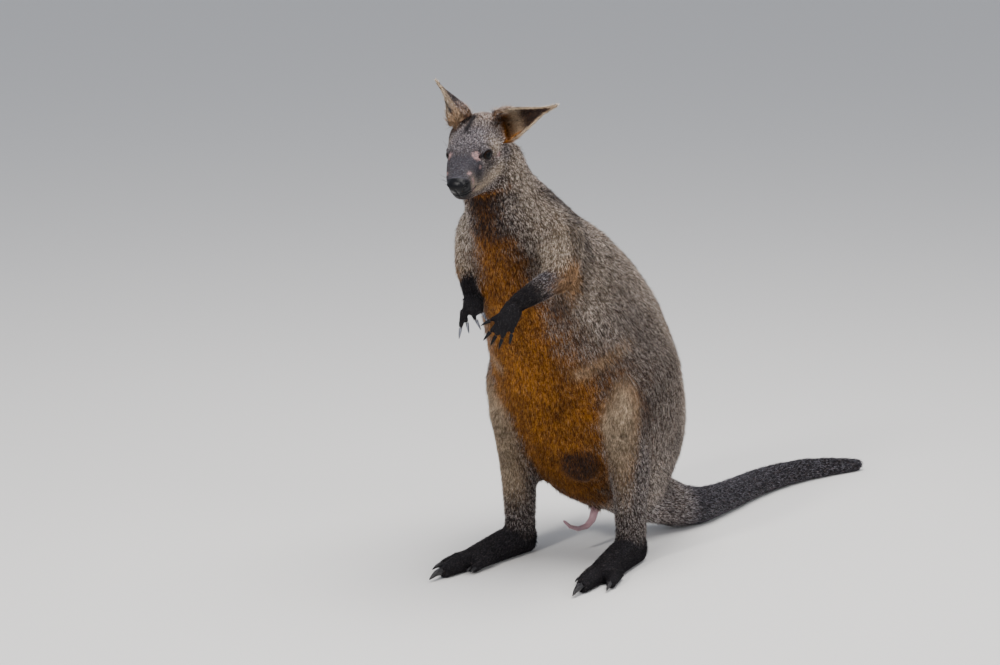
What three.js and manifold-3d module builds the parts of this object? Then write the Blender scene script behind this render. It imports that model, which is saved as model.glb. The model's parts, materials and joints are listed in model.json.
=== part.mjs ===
// Swamp wallaby (Wallabia bicolor), adult male, standing upright at rest: a life-size still model.
// Millimetres, +Z up, +X the way the trunk faces, +Y its left side. The floor is Z = 0.
// Every solid reaches out to the tips of the coat. Parts that meet keep a GAP between them.
import * as THREE from "three";
import { mergeVertices } from "three/addons/utils/BufferGeometryUtils.js";
import Module from "manifold-3d";

const wasm = await Module();
wasm.setup();

// ---- Driving dimensions -------------------------------------------------------------------------
const GAP = 0.3; // clearance between parts that meet
const HEAD = { eyes: [333, 2, 667], yaw: 12, pitch: 28, roll: 5 }; // middle of the eye line, and the turn
const EYE = { radius: 11.8, apart: 22, ahead: -6, up: 2, socket: [11, 9, 8.5] };
const EAR = { wide: 22.5, shell: 3.2 };
const EAR_TIP = { left: [249, 102, 739], right: [312, -66, 772] };
const JAW_CUT = { at: [40, -20], rise: 0.08 }; // the mouth line: ahead and up of the eyes, and its slope
const HEEL = { left: [-19, 90], right: [14, -87] }; // where each heel stands on the floor
const FOOT_TURN = { left: 5, right: -8.5 }; // degrees each foot points outwards
const FOOT_LONG = 197; // heel to the root of the fourth toe's claw
const KNEE = { left: [62, 106, 276], right: [62, -88, 266] };
const CLAW = { finger: [17, 3], fourth: [29, 6.5], fifth: [22, 4.6], inner: [13, 2.4] }; // length, thickness
const TAIL_TIP = [-728, 150, 12];

const DEG = Math.PI / 180;
const FORWARD = new THREE.Vector3(1, 0, 0);
const UP = new THREE.Vector3(0, 0, 1);
const SIDES = { left: 1, right: -1 };

// ---- Colours ------------------------------------------------------------------------------------
const finish = (color, roughness) => new THREE.MeshStandardMaterial({ color, roughness, metalness: 0 });
const BACK_COAT = () => finish(0x76695f, 0.95); // grizzled grey-brown
const BELLY_COAT = () => finish(0x7d4716, 0.95); // orange rust
const DARK_COAT = () => finish(0x2b282d, 0.9); // near-black hands, feet and tail
const FACE_COAT = () => finish(0x66605f, 0.9);
const NOSE_SKIN = () => finish(0x1d1b20, 0.35);
const EYE_GLOSS = () => finish(0x0b0a0c, 0.05);
const HORN = () => finish(0x3c3b40, 0.4);
const PINK_SKIN = () => finish(0xc08d88, 0.5);

// ---- Shape tools --------------------------------------------------------------------------------
const vec = (p) => (p.isVector3 ? p.clone() : new THREE.Vector3(...p));
const mix = (a, b, t) => vec(a).lerp(vec(b), t);

function solidOf(geometry) {
  const bare = new THREE.BufferGeometry();
  bare.setAttribute("position", geometry.getAttribute("position"));
  bare.setIndex(geometry.index);
  const merged = mergeVertices(bare, 1e-3);
  return new wasm.Manifold(
    new wasm.Mesh({
      numProp: 3,
      vertProperties: merged.attributes.position.array,
      triVerts: new Uint32Array(merged.index.array),
    }),
  );
}

// A closed tube of rings along a smooth curve, with a dome at each end. Each station is
// [centre, wide, high, low]: half sizes to each side, towards up, and away from it.
// square is [upper, lower]: 2 gives an ellipse, and more gives flatter sides. grow swells the form.
function loft(stations, { rings, sides, up = UP, square = [2, 2], caps = [8, 8], domes = 2, grow = 0 }) {
  const line = new THREE.CatmullRomCurve3(stations.map((s) => vec(s[0])));
  const size = new THREE.CatmullRomCurve3(stations.map((s) => new THREE.Vector3(s[1], s[2], s[3])));
  const points = [];
  const faces = [];
  const frameAt = (t) => {
    const along = line.getTangent(t);
    const top = vec(up).addScaledVector(along, -vec(up).dot(along)).normalize();
    return { at: line.getPoint(t), along, top, side: top.clone().cross(along), half: size.getPoint(t) };
  };
  const ring = (f, shift, scale) => {
    for (let i = 0; i < sides; i++) {
      const angle = (2 * Math.PI * i) / sides;
      const upper = i * 2 < sides;
      const power = (value) => Math.sign(value) * Math.abs(value) ** (2 / square[upper ? 0 : 1]);
      const across = power(Math.cos(angle)) * (f.half.x + grow) * scale;
      const rise = power(Math.sin(angle)) * ((upper ? f.half.y : f.half.z) + grow) * scale;
      const centre = f.at.clone().addScaledVector(f.along, shift);
      points.push(centre.addScaledVector(f.side, across).addScaledVector(f.top, rise));
    }
  };
  const [first, last] = [frameAt(0), frameAt(1)];
  for (let k = domes; k >= 1; k--) {
    const lean = (k / (domes + 1)) * 90 * DEG;
    ring(first, -(caps[0] + grow) * Math.sin(lean), Math.cos(lean));
  }
  for (let i = 0; i <= rings; i++) ring(frameAt(i / rings), 0, 1);
  for (let k = 1; k <= domes; k++) {
    const lean = (k / (domes + 1)) * 90 * DEG;
    ring(last, (caps[1] + grow) * Math.sin(lean), Math.cos(lean));
  }
  const total = points.length;
  for (let r = 0; r < total - sides; r += sides)
    for (let i = 0; i < sides; i++) {
      const next = (i + 1) % sides;
      faces.push(r + i, r + next, r + next + sides, r + i, r + next + sides, r + i + sides);
    }
  points.push(first.at.clone().addScaledVector(first.along, -(caps[0] + grow)));
  points.push(last.at.clone().addScaledVector(last.along, caps[1] + grow));
  for (let i = 0; i < sides; i++) {
    const next = (i + 1) % sides;
    faces.push(total, next, i);
    faces.push(total + 1, total - sides + i, total - sides + next);
  }
  return solidOf(new THREE.BufferGeometry().setFromPoints(points).setIndex(faces));
}

// An ellipsoid of muscle or fur, turned about X, then Y, then Z, in degrees.
function lump(centre, radii, turn, [around, down], grow = 0) {
  const geometry = new THREE.SphereGeometry(1, around, down);
  geometry.scale(radii[0] + grow, radii[1] + grow, radii[2] + grow);
  geometry.rotateX(turn[0] * DEG);
  geometry.rotateY(turn[1] * DEG);
  geometry.rotateZ(turn[2] * DEG);
  const at = vec(centre);
  geometry.translate(at.x, at.y, at.z);
  return solidOf(geometry);
}

// All that lies beyond a plane, as a big block to cut with.
function blockBeyond(point, normal, size = 1800) {
  const block = new THREE.BoxGeometry(size, size, size);
  block.translate(0, 0, size / 2);
  block.applyQuaternion(new THREE.Quaternion().setFromUnitVectors(UP, vec(normal).normalize()));
  const at = vec(point);
  block.translate(at.x, at.y, at.z);
  return solidOf(block);
}

const UNDERGROUND = blockBeyond([0, 0, 0], [0, 0, -1]);

const union = (first, ...others) => others.reduce((all, one) => all.add(one), first);

// The largest body of a cut, which drops any sliver that the cut leaves beside it.
const largest = (solid) => solid.decompose().reduce((a, b) => (b.volume() > a.volume() ? b : a));

const without = (first, ...others) => largest(others.reduce((all, one) => all.subtract(one), first));

// Cuts one solid into a row of pieces by planes across it, with GAP between neighbours.
function slices(solid, cuts) {
  const pieces = [];
  let rest = solid;
  for (const { at, along } of cuts) {
    const half = vec(along).normalize().multiplyScalar(GAP / 2);
    const beyond = blockBeyond(vec(at).add(half), along);
    const before = blockBeyond(vec(at).sub(half), vec(along).negate());
    pieces.push(largest(rest.intersect(before)));
    rest = largest(rest.intersect(beyond));
  }
  pieces.push(rest);
  return pieces;
}

const wallaby = new THREE.Group();

function add(name, solid, material) {
  const mesh = solid.getMesh();
  const geometry = new THREE.BufferGeometry();
  geometry.setAttribute("position", new THREE.BufferAttribute(mesh.vertProperties, 3));
  geometry.setIndex(new THREE.BufferAttribute(mesh.triVerts, 1));
  const made = new THREE.Mesh(geometry, material);
  made.name = name;
  wallaby.add(made);
}

// ---- Head: its own frame is +X to the nose, +Y to its left, +Z to its crown, from between the eyes --
const headFrame = new THREE.Matrix4()
  .makeTranslation(...HEAD.eyes)
  .multiply(new THREE.Matrix4().makeRotationZ(HEAD.yaw * DEG))
  .multiply(new THREE.Matrix4().makeRotationY(HEAD.pitch * DEG))
  .multiply(new THREE.Matrix4().makeRotationX(HEAD.roll * DEG));
const onHead = (x, y, z) => new THREE.Vector3(x, y, z).applyMatrix4(headFrame);
const headWay = (x, y, z) => onHead(x, y, z).sub(onHead(0, 0, 0));

// Stations from the muzzle to the back of the skull: [ahead, half width, crown, throat].
const SKULL = [
  [59, 15, 3, 32],
  [51, 19, 8.5, 38],
  [38, 22, 15, 45],
  [24, 25.5, 19.5, 52],
  [8, 28.5, 24, 59],
  [-8, 32.5, 27, 65],
  [-26, 38.5, 28, 68],
  [-46, 42, 27.5, 65],
  [-66, 39, 25, 55],
  [-84, 29, 19, 38],
];

function headForm(grow) {
  const stations = SKULL.map(([ahead, wide, crown, throat]) => [onHead(ahead, 0, 0), wide, crown, throat]);
  const shape = { rings: 10, sides: 16, up: headWay(0, 0, 1), square: [2.2, 2.7], caps: [6, 12] };
  return loft(stations, { ...shape, grow });
}

const noseForm = (grow) =>
  loft(
    [
      [onHead(53, 0, -3), 13.5, 10.5, 10],
      [onHead(60, 0, -6), 15, 10.5, 10.5],
      [onHead(66, 0, -8), 11.5, 7.5, 8],
    ],
    { rings: 3, sides: 12, up: headWay(0, 0, 1), square: [2.4, 2.4], caps: [3, 2.5], domes: 1, grow },
  );

const eyeForm = (side, grow) =>
  lump(onHead(EYE.ahead, side * EYE.apart, EYE.up), Array(3).fill(EYE.radius), [0, 0, 0], [10, 6], grow);

// An ear: a leaf rolled into an open cone. face is the way its hollow looks.
function earForm(root, tip, face) {
  const along = vec(tip).sub(vec(root)).normalize();
  const open = vec(face).addScaledVector(along, -vec(face).dot(along)).normalize();
  const across = new THREE.Vector3().crossVectors(open, along);
  const levels = 7;
  const arc = 5;
  const ringSize = 2 * (arc + 1);
  const points = [];
  const faces = [];
  for (let level = 0; level <= levels; level++) {
    const t = level / levels;
    const half = Math.max(EAR.wide * (1 - t) ** 0.72 * (0.78 + 0.5 * Math.sin(Math.PI * Math.min(1, t + 0.25))), 3.2);
    const roll = (122 - 60 * t) * DEG; // how far each edge curls round from the back of the ear
    const radius = half / Math.sin(Math.min(roll, 90 * DEG));
    const shell = Math.min(EAR.shell, radius * 0.6);
    const centre = mix(root, tip, t * 0.98).addScaledVector(open, radius * 0.3);
    const place = (angle, r) =>
      centre.clone().addScaledVector(across, r * Math.sin(angle)).addScaledVector(open, -r * Math.cos(angle));
    for (let i = 0; i <= arc; i++) points.push(place(-roll + (2 * roll * i) / arc, radius));
    for (let i = arc; i >= 0; i--) points.push(place(-roll + (2 * roll * i) / arc, radius - shell));
  }
  for (let r = 0; r < levels * ringSize; r += ringSize)
    for (let i = 0; i < ringSize; i++) {
      const next = (i + 1) % ringSize;
      faces.push(r + i, r + next, r + next + ringSize, r + i, r + next + ringSize, r + i + ringSize);
    }
  for (let i = 0; i < arc; i++) {
    const [a, b] = [i, ringSize - 1 - i];
    const far = levels * ringSize;
    faces.push(a + 1, a, b, a + 1, b, b - 1);
    faces.push(far + a, far + a + 1, far + b, far + a + 1, far + b - 1, far + b);
  }
  return solidOf(new THREE.BufferGeometry().setFromPoints(points).setIndex(faces));
}

// ---- Trunk: neck, chest, belly and hips as one form, parted across the spine ---------------------
const SPINE = [
  [[256, -4, 662], 42, 40, 40],
  [[232, -6, 606], 56, 54, 57],
  [[186, 0, 545], 70, 77, 72],
  [[134, 0, 475], 94, 112, 92],
  [[66, 0, 400], 115, 147, 112],
  [[6, 0, 320], 131, 166, 130],
  [[-44, 2, 240], 128, 169, 138],
  [[-84, 4, 174], 118, 162, 124],
  [[-116, 7, 124], 100, 143, 94],
  [[-138, 12, 90], 74, 94, 60],
];

function trunkForm(grow) {
  const body = loft(SPINE, { rings: 13, sides: 18, square: [2.1, 2.1], caps: [20, 36], grow });
  const shoulders = [1, -1].map((side) => lump([176, side * 60, 522], [50, 36, 72], [0, 28, 0], [8, 5], grow));
  return union(body, ...shoulders);
}

// ---- Tail: thick at the rump, laid along the floor and swung to the left -------------------------
const TAIL = [
  [[-126, 10, 92], 58, 58, 52],
  [[-182, 34, 62], 45, 42, 46],
  [[-250, 64, 35], 31, 30, 35],
  [[-345, 72, 25], 25.5, 25, 26],
  [[-440, 72, 22.5], 23, 23, 23.5],
  [[-540, 78, 20.5], 21, 21, 21.5],
  [[-640, 104, 17.5], 18, 18, 18.5],
  [TAIL_TIP, 10, 10, 13],
];
const tailForm = () => loft(TAIL, { rings: 12, sides: 10, caps: [10, 10], domes: 1 }).subtract(UNDERGROUND);

// ---- Hind legs ------------------------------------------------------------------------------------
function thighForm(side, grow) {
  const knee = side > 0 ? KNEE.left : KNEE.right;
  return loft(
    [
      [[-100, side * 64, 236], 60, 112, 104],
      [[-44, side * 84, 262], 62, 122, 118],
      [[14, side * 95, 272], 52, 94, 102],
      [knee, 35, 54, 60],
    ],
    { rings: 5, sides: 12, caps: [50, 24], grow },
  );
}

function shinForm(side, grow) {
  const [knee, heel] = side > 0 ? [KNEE.left, HEEL.left] : [KNEE.right, HEEL.right];
  const ankle = [heel[0] + 12, heel[1], 36];
  const [thickCalf, thinCalf] = [mix(ankle, knee, 0.58), mix(ankle, knee, 0.22)];
  return loft(
    [
      [mix(ankle, knee, 0.9), 33, 36, 62],
      [thickCalf.add(vec([-14, 0, 0])), 31, 36, 54],
      [thinCalf.add(vec([-5, 0, 0])), 24, 27, 35],
      [ankle, 22, 27, 32],
    ],
    { rings: 5, sides: 10, up: FORWARD, caps: [14, 18], domes: 1, grow },
  );
}

// The foot's own frame: +X along the foot from its heel, +Y to the outside, on the floor.
function onFoot(side, x, y, z) {
  const name = side > 0 ? "left" : "right";
  const way = new THREE.Vector3(x, side * y, z).applyAxisAngle(UP, FOOT_TURN[name] * DEG);
  return way.add(new THREE.Vector3(...HEEL[name], 0));
}

function footForm(side, grow) {
  const stations = [
    [onFoot(side, -8, 0, 20), 20, 22, 22],
    [onFoot(side, 22, 0, 22), 22, 27, 24],
    [onFoot(side, 66, 0, 19), 22, 22, 21],
    [onFoot(side, 108, 1, 15), 23, 18, 17],
    [onFoot(side, 136, 2, 12), 21, 14, 14],
  ];
  return loft(stations, { rings: 5, sides: 10, square: [2.4, 2.4], caps: [12, 10], domes: 1, grow });
}

// Each toe runs from the end of the sole to the root of its claw.
const TOES = {
  fourth: { from: [120, 0, 14], to: [FOOT_LONG, -1, 12], thick: 13.5 },
  fifth: { from: [108, 20, 12], to: [158, 29, 9.5], thick: 9.5 },
  inner: { from: [104, -18, 12], to: [150, -22, 8.5], thick: 7.5 },
};

function toeForm(side, { from, to, thick }, grow) {
  const middle = mix(from, to, 0.5).add(vec([0, 0, 2.5])).toArray();
  const stations = [
    [onFoot(side, ...from), thick, thick, thick * 1.1],
    [onFoot(side, ...middle), thick, thick, thick * 1.2],
    [onFoot(side, ...to), thick * 0.8, thick * 0.8, thick],
  ];
  return loft(stations, { rings: 2, sides: 7, caps: [6, 7], domes: 1, grow });
}

// A claw: a curved, tapering horn that leaves its root along way and bends towards down.
function claw(root, way, down, [long, thick]) {
  const along = vec(way).normalize();
  const at = (ahead, drop) =>
    vec(root).addScaledVector(along, long * ahead).addScaledVector(vec(down), long * drop);
  const stations = [
    [at(-0.1, 0), thick, thick, thick],
    [at(0.3, 0.02), thick * 0.88, thick * 0.9, thick * 0.9],
    [at(0.68, 0.12), thick * 0.58, thick * 0.62, thick * 0.62],
    [at(0.94, 0.26), thick * 0.22, thick * 0.24, thick * 0.24],
  ];
  return loft(stations, { rings: 2, sides: 5, up: vec(down).negate(), caps: [thick * 0.6, thick * 0.4], domes: 0 });
}

// ---- Arms -----------------------------------------------------------------------------------------
const ARM = {
  left: {
    shoulder: [186, 70, 540],
    elbow: [206, 86, 483],
    wrist: [296, 60, 454],
    palm: [306, 52, 433],
    knuckles: [314, 47, 416],
    facing: [1, 0.2, 0.1],
  },
  right: {
    shoulder: [176, -70, 536],
    elbow: [184, -84, 476],
    wrist: [208, -65, 440],
    palm: [217, -58, 426],
    knuckles: [223, -60, 409],
    facing: [0.87, 0.5, 0.3],
  },
};

function upperArmForm(arm, grow) {
  const middle = mix(arm.shoulder, arm.elbow, 0.5);
  const stations = [
    [arm.shoulder, 32, 46, 46],
    [middle, 30, 40, 40],
    [arm.elbow, 22, 26, 26],
  ];
  return loft(stations, { rings: 3, sides: 8, up: FORWARD, caps: [28, 17], grow });
}

function forearmForm(arm, grow) {
  const stations = [
    [mix(arm.elbow, arm.wrist, 0.04), 21, 23, 23],
    [mix(arm.elbow, arm.wrist, 0.45), 18, 19.5, 19.5],
    [mix(arm.elbow, arm.wrist, 0.85), 15, 15, 15],
    [arm.wrist, 15, 13, 13],
  ];
  return loft(stations, { rings: 3, sides: 9, caps: [16, 7], domes: 1, grow });
}

// A hand: the palm, and five fingers that fan out of it in the palm's own plane. Each finger is
// [place across the palm, place along it, lean in degrees, length].
const FINGERS = {
  left: {
    thumb: [-12, 0, -38, 15],
    index: [-9, 10, -17, 17],
    middle: [-3, 10, -5, 17],
    ring: [3.5, 10, 6, 17],
    little: [10, 0, 15, 15],
  },
  right: {
    thumb: [-4, -6, -35, 15],
    index: [5, 4, -33, 17],
    middle: [13, 7, -17, 17],
    ring: [15, 9, 2, 23],
    little: [10, 2, 8, 15],
  },
};

function handWays(arm) {
  const along = vec(arm.knuckles).sub(vec(arm.wrist)).normalize();
  const back = vec(arm.facing).addScaledVector(along, -vec(arm.facing).dot(along)).normalize();
  return { along, back, across: new THREE.Vector3().crossVectors(back, along) };
}

function fingerLine(arm, side, [place, ahead, turn, long]) {
  const { along, back, across } = handWays(arm);
  const lean = turn * side * DEG;
  const way = along.clone().multiplyScalar(Math.cos(lean)).addScaledVector(across, Math.sin(lean));
  const root = vec(arm.palm).addScaledVector(across, place * side).addScaledVector(along, ahead);
  return { root, way, back, tip: root.clone().addScaledVector(way, long).addScaledVector(back, -2) };
}

function handForm(arm, side, grow) {
  const { back } = handWays(arm);
  const palm = loft(
    [
      [mix(arm.wrist, arm.palm, 0.1), 14, 12, 12],
      [arm.palm, 17, 11, 10],
      [mix(arm.palm, arm.knuckles, 0.45), 14.5, 8, 7],
    ],
    { rings: 3, sides: 8, up: back, caps: [6, 5], domes: 1, grow },
  );
  const fingers = Object.values(FINGERS[side > 0 ? "left" : "right"]).map((finger) => {
    const { root, tip } = fingerLine(arm, side, finger);
    const stations = [
      [root, 4.8, 5.2, 4.8],
      [tip, 3.6, 4.0, 3.6],
    ];
    return loft(stations, { rings: 1, sides: 5, up: back, caps: [3, 3.5], domes: 1, grow });
  });
  return union(palm, ...fingers);
}

// ---- Male parts, as the species carries them: scrotum ahead of the vent, organ behind it ----------
const scrotumForm = (grow) => lump([40, 32, 168], [38, 36, 38], [0, 30, 0], [10, 7], grow);
const organForm = () =>
  loft(
    [
      [[-58, 0, 92], 8, 8, 8],
      [[-58, 0, 70], 7.5, 7.5, 7.5],
      [[-52, 0, 50], 6.5, 6.5, 6.5],
      [[-34, -4, 38], 5, 5, 5],
      [[0, -8, 44], 3.6, 3.6, 3.6],
      [[24, -10, 60], 2.4, 2.4, 2.4],
    ],
    { rings: 7, sides: 6, up: [0, 1, 0], caps: [4, 3], domes: 1 },
  );

// ---- Assembly: each part is cut back from the swollen forms of those it meets ----------------------
const grownHead = headForm(GAP);
const grownTrunk = trunkForm(GAP);
const grownNose = noseForm(GAP);

const sockets = [1, -1].map((side) => lump(onHead(EYE.ahead + 10, side * (EYE.apart + 10.5), 3), EYE.socket, [0, HEAD.pitch, HEAD.yaw], [8, 5]));
const faceForm = without(headForm(0), grownNose, eyeForm(1, GAP), eyeForm(-1, GAP), ...sockets);
const mouth = { at: onHead(JAW_CUT.at[0], 0, JAW_CUT.at[1]), along: headWay(-JAW_CUT.rise, 0, -1) };
const [head, lowerJaw] = slices(faceForm, [mouth]);
add("head", head, FACE_COAT());
add("lower_jaw", lowerJaw, FACE_COAT());
add("nose_pad", noseForm(0), NOSE_SKIN());
add("eye_left", eyeForm(1, 0), EYE_GLOSS());
add("eye_right", eyeForm(-1, 0), EYE_GLOSS());
const earCut = [grownHead, grownTrunk];
add("ear_left", without(earForm(onHead(-62, 30, 8), EAR_TIP.left, [1, 0.1, -0.2]), ...earCut), BACK_COAT());
add("ear_right", without(earForm(onHead(-62, -22, 21), EAR_TIP.right, [0.7, -1, 0]), ...earCut), BACK_COAT());

const scrotum = without(scrotumForm(0), grownTrunk);
const trunk = without(trunkForm(0), grownHead);
const [neck, chest, abdomen, rump] = slices(trunk, [
  { at: [212, 0, 584], along: [-0.55, 0, -0.84] },
  { at: [96, 0, 432], along: [-0.66, 0, -0.75] },
  { at: [-34, 0, 262], along: [-0.57, 0, -0.82] },
]);
add("neck", neck, BACK_COAT());
add("chest", chest, BACK_COAT());
add("abdomen", abdomen, BELLY_COAT());
add("rump", rump, BACK_COAT());
add("scrotum", scrotum, DARK_COAT());
add("penis", without(organForm(), grownTrunk, scrotumForm(GAP)), PINK_SKIN());

const tail = without(tailForm(), grownTrunk);
const tailCuts = [
  { at: [-285, 69, 30], along: [-0.97, 0.2, -0.1] },
  { at: [-430, 72, 22], along: [-1, 0.06, 0] },
  { at: [-585, 88, 19], along: [-0.97, 0.22, 0] },
];
slices(tail, tailCuts).forEach((length, i) => add("tail_" + (i + 1), length, DARK_COAT()));

for (const [name, side] of Object.entries(SIDES)) {
  const arm = ARM[name];
  add("thigh_" + name, without(thighForm(side, 0), grownTrunk), BACK_COAT());
  add("shin_" + name, without(shinForm(side, 0), grownTrunk, thighForm(side, GAP)), BACK_COAT());
  const grownShin = shinForm(side, GAP);
  add("foot_" + name, without(footForm(side, 0), grownShin, UNDERGROUND), DARK_COAT());
  const grownFoot = footForm(side, GAP);
  for (const [toe, shape] of Object.entries(TOES)) {
    const others = Object.keys(TOES).filter((other) => other > toe).map((other) => toeForm(side, TOES[other], GAP));
    add(`toe_${toe}_${name}`, without(toeForm(side, shape, 0), grownFoot, UNDERGROUND, ...others), DARK_COAT());
    const grownToe = toeForm(side, shape, GAP);
    const way = vec(shape.to).sub(vec(shape.from)).setZ(0);
    const ahead = onFoot(side, ...way.toArray()).sub(onFoot(side, 0, 0, 0));
    for (const [i, offset] of (toe === "inner" ? [-3.6, 3.6] : [0]).entries()) {
      const root = onFoot(side, shape.to[0] + shape.thick * 0.5, shape.to[1] + offset, shape.to[2] + 0.5);
      const horn = without(claw(root, ahead, [0, 0, -1], CLAW[toe]), grownToe, UNDERGROUND);
      add(`claw_${toe}${toe === "inner" ? i + 1 : ""}_${name}`, horn, HORN());
    }
  }
  add("upper_arm_" + name, without(upperArmForm(arm, 0), grownTrunk), BACK_COAT());
  add("forearm_" + name, without(forearmForm(arm, 0), grownTrunk, upperArmForm(arm, GAP)), DARK_COAT());
  add("hand_" + name, without(handForm(arm, side, 0), forearmForm(arm, GAP)), DARK_COAT());
  const grownHand = handForm(arm, side, GAP);
  for (const [finger, line] of Object.entries(FINGERS[name])) {
    const { way, back, tip } = fingerLine(arm, side, line);
    const horn = without(claw(tip.addScaledVector(way, 2), way, back.negate(), CLAW.finger), grownHand);
    add(`claw_${finger}_${name}`, horn, HORN());
  }
}

// The origin goes to the middle of the whole model's box, on the floor.
const box = new THREE.Box3().setFromObject(wallaby);
const middle = box.getCenter(new THREE.Vector3());
for (const part of wallaby.children) part.geometry.translate(-middle.x, -middle.y, 0);

export default wallaby;
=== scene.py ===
import json
import math

import bpy
import numpy as np
from mathutils import Matrix, Vector
from mathutils.bvhtree import BVHTree
from mathutils.kdtree import KDTree


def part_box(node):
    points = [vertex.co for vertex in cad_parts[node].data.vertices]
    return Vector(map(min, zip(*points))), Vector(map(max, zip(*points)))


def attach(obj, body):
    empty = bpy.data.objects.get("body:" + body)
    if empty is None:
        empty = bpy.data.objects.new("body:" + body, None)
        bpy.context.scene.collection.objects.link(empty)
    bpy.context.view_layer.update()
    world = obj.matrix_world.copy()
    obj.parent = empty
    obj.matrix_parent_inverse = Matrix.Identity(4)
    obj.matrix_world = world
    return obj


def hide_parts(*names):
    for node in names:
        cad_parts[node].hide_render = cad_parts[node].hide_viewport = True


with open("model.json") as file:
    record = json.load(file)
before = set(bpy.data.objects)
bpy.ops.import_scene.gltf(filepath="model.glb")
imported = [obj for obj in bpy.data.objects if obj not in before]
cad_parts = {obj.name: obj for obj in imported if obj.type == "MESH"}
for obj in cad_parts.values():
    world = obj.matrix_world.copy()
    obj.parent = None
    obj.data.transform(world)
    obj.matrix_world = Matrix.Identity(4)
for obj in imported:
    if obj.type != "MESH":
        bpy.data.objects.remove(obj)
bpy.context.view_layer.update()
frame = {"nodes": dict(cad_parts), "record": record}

# ---- The skin --------------------------------------------------------------------------------------
# One hide over the whole animal, from the ears to the tip of the tail. The solids of the flesh reach to
# the tips of the coat, so they are fused, smoothed, and drawn in by the depth of the coat on each part.

EYES = [node for node in frame["nodes"] if node.startswith("eye_")]
HORNS = [node for node in frame["nodes"] if node.startswith("claw_")]
FLESH = [node for node in frame["nodes"] if node not in EYES + HORNS]

# The floor point between the heels, which the places below are measured from, in metres.
sole = next(m for m in frame["record"]["mounts"] if m["name"] == "sole_left")["pos_m"]
STAND = np.array([sole[0] - 0.048, sole[1] - 0.096, 0.0])


def place(x, y, z):
    return STAND + np.array([x, y, z]) / 1000.0


def deselect():
    bpy.ops.object.select_all(action="DESELECT")
    bpy.context.view_layer.objects.active = None


def choose(*objects):
    deselect()
    for one in objects:
        one.select_set(True)
    bpy.context.view_layer.objects.active = objects[0]


# Runs one editing step on the whole mesh of the chosen object.
def edit_all(step, **settings):
    bpy.ops.object.mode_set(mode="EDIT")
    bpy.ops.mesh.select_all(action="SELECT")
    step(**settings)
    bpy.ops.object.mode_set(mode="OBJECT")


# A solid's own copy, merged and swollen a little, so that it passes into its neighbours.
def swollen(node, swell):
    source = frame["nodes"][node]
    copy = source.copy()
    copy.data = source.data.copy()
    copy.parent = None
    copy.matrix_world = Matrix.Identity(4)
    for key in list(copy.keys()):
        del copy[key]
    copy.data.materials.clear()
    bpy.context.scene.collection.objects.link(copy)
    choose(copy)
    bpy.ops.object.mode_set(mode="EDIT")
    bpy.ops.mesh.select_all(action="SELECT")
    bpy.ops.mesh.remove_doubles(threshold=1e-6)
    bpy.ops.transform.shrink_fatten(value=swell)
    bpy.ops.object.mode_set(mode="OBJECT")
    return copy


def fused(nodes, swell, voxel, name):
    choose(*[swollen(node, swell) for node in nodes])
    bpy.ops.object.join()
    made = bpy.context.view_layer.objects.active
    made.name = name
    made.data.remesh_voxel_size = voxel
    made.data.use_remesh_preserve_volume = False
    bpy.ops.object.voxel_remesh()
    return made


def read(items, name, size, kind=np.float32):
    flat = np.empty(len(items) * size, kind)
    items.foreach_get(name, flat)
    return flat.reshape(-1, size)


def points_of(mesh):
    return read(mesh.vertices, "co", 3).astype(np.float64)


def put_points(mesh, points):
    mesh.vertices.foreach_set("co", points.astype(np.float32).ravel())
    mesh.update()


def edges_of(mesh):
    return read(mesh.edges, "vertices", 2, np.int32)


def normals_of(mesh):
    return read(mesh.vertex_normals, "vector", 3).astype(np.float64)


# Evens out values over a mesh: each vertex moves part of the way to the mean of its neighbours.
def spread(values, edges, passes, pull=0.5):
    values = np.array(values, float)
    flat = values.reshape(len(values), -1)
    a, b = edges[:, 0], edges[:, 1]
    count = np.maximum(np.bincount(a, minlength=len(flat)) + np.bincount(b, minlength=len(flat)), 1)
    pull = np.asarray(pull)
    for _ in range(passes):
        for k in range(flat.shape[1]):
            column = flat[:, k]
            total = np.bincount(a, column[b], len(column)) + np.bincount(b, column[a], len(column))
            flat[:, k] = column + pull * (total / count - column)
    return flat.reshape(values.shape)


# Takes the facets out of a form and keeps its bulk: what the evening took away is put back, evened too.
def soften(mesh, passes, pull=0.5):
    edges, before = edges_of(mesh), points_of(mesh)
    after = spread(before, edges, passes, pull)
    after += spread(before - after, edges, passes, pull)
    put_points(mesh, after)


# The nearest solid to each point, as its place in FLESH.
def nodes_near(points):
    corners, polygons, owner = [], [], []
    for node in FLESH:
        mesh = frame["nodes"][node].data
        start = len(corners)
        corners += [v.co[:] for v in mesh.vertices]
        for polygon in mesh.polygons:
            polygons.append([start + i for i in polygon.vertices])
            owner.append(FLESH.index(node))
    tree = BVHTree.FromPolygons(corners, polygons)
    return np.array([owner[tree.find_nearest(p)[2]] for p in points.tolist()])


def among(*starts):
    return np.array([node.startswith(starts) for node in FLESH])


voxel = 0.0018
FINE = ("head", "lower_jaw", "nose_pad", "ear_", "eye_", "hand_", "toe_", "foot_", "penis")
SEPARATE = ("hand_", "toe_", "ear_")
body = fused([node for node in FLESH if not node.startswith(SEPARATE)], swell=0.0006, voxel=0.005, name="body")
part = nodes_near(points_of(body.data))
evening = np.where(among(*FINE, "forearm_", "tail_4")[part], 0.1, 0.7)
evening = np.where(among("shin_", "tail_", "upper_arm_", "scrotum")[part], 0.35, evening)
soften(body.data, 24, spread(evening, edges_of(body.data), 6))
fine = fused([node for node in FLESH + EYES if node.startswith(FINE)], swell=0.0004, voxel=voxel, name="fine")
part = nodes_near(points_of(fine.data))
evening = np.where(among("hand_", "toe_", "ear_", "penis", "nose_pad")[part], 0.16, 0.5)
soften(fine.data, 12, spread(evening, edges_of(fine.data), 3))
choose(fine, body)
bpy.ops.object.join()
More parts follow.
